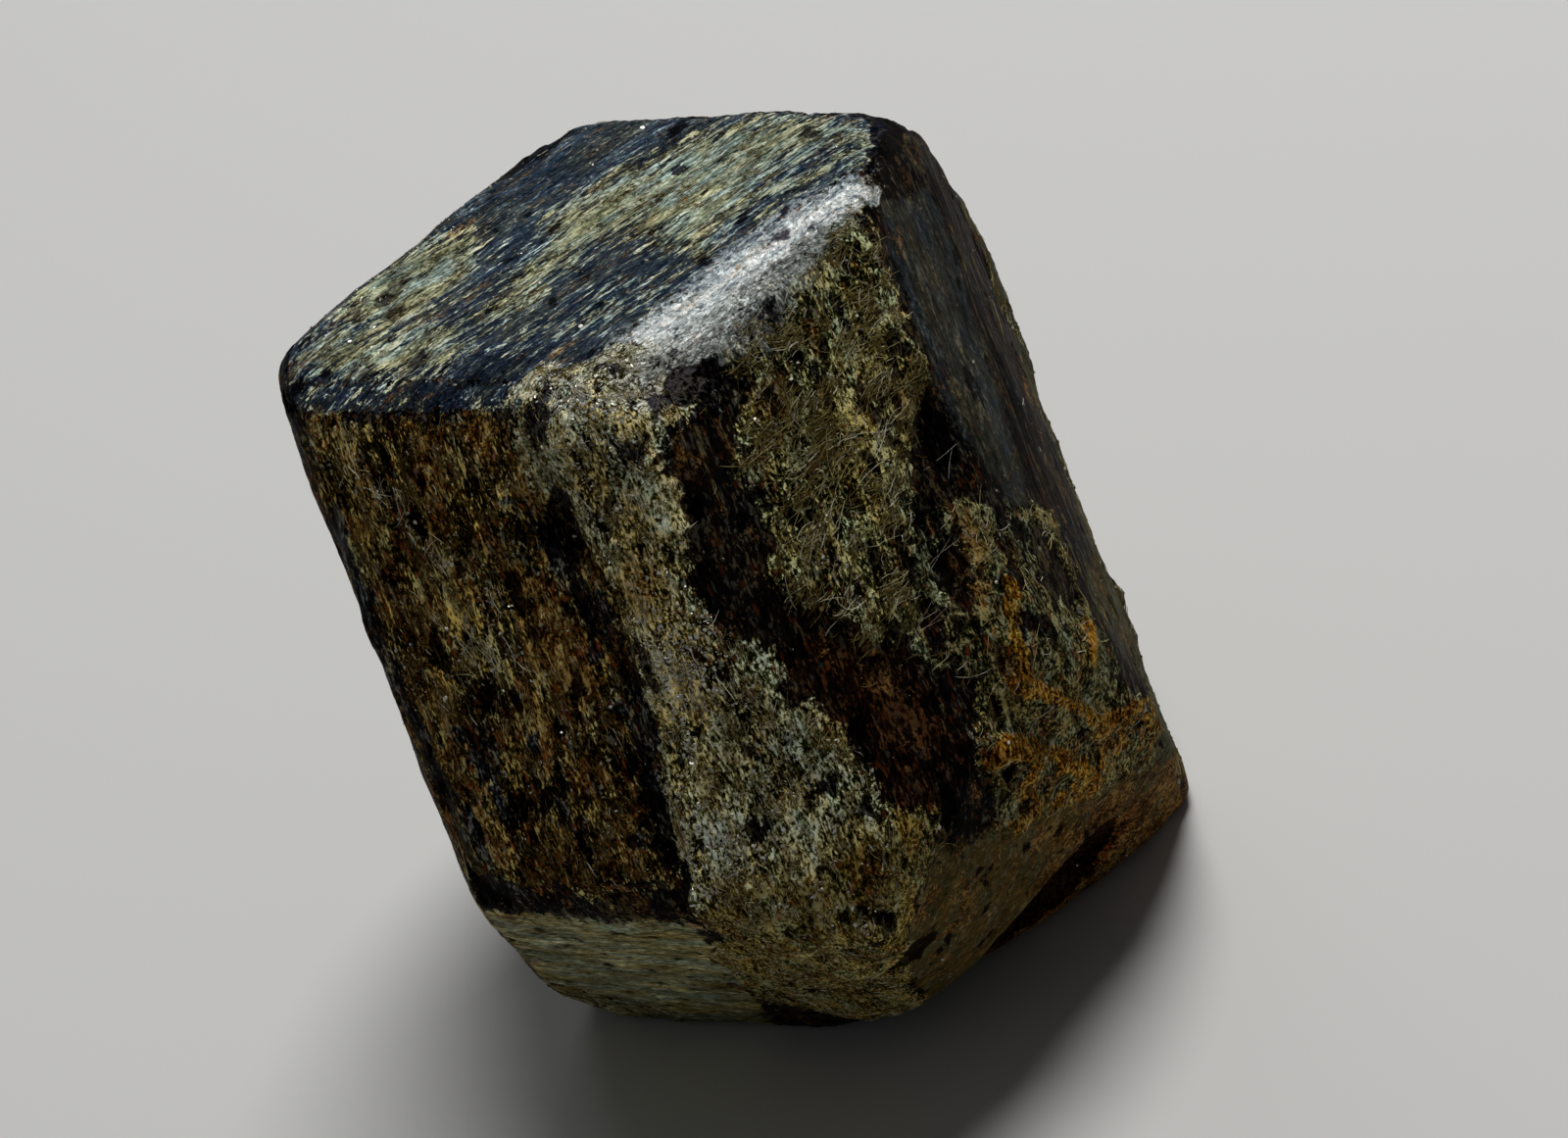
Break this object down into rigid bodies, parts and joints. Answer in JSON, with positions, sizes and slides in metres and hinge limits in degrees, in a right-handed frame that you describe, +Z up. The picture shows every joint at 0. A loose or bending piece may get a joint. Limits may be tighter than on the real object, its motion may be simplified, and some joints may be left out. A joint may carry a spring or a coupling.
{
  "type": "garnet crystal",
  "caption": "Loose natural almandine garnet crystal: a stretched rhombic dodecahedron with worn, narrowly cut edges, patches of mica coat, striated bare stripes and rust; lies on one flat face.",
  "frame": {"origin": "on the face that the crystal rests on, straight below the crystal's centre", "axes": "+Z is up, square to the rest face and to the large top face; -Y is toward the front edge between the two big front faces; +X is to the right; the crystal's long axis leans in the YZ plane"},
  "size_m": [0.03, 0.0433, 0.0334],
  "materials": {
    "garnet_surface": "natural, mica coated, satin to glinting"
  },
  "bodies": {
    "root": {"garnet_crystal": "garnet_surface"}
  },
  "joints": []
}
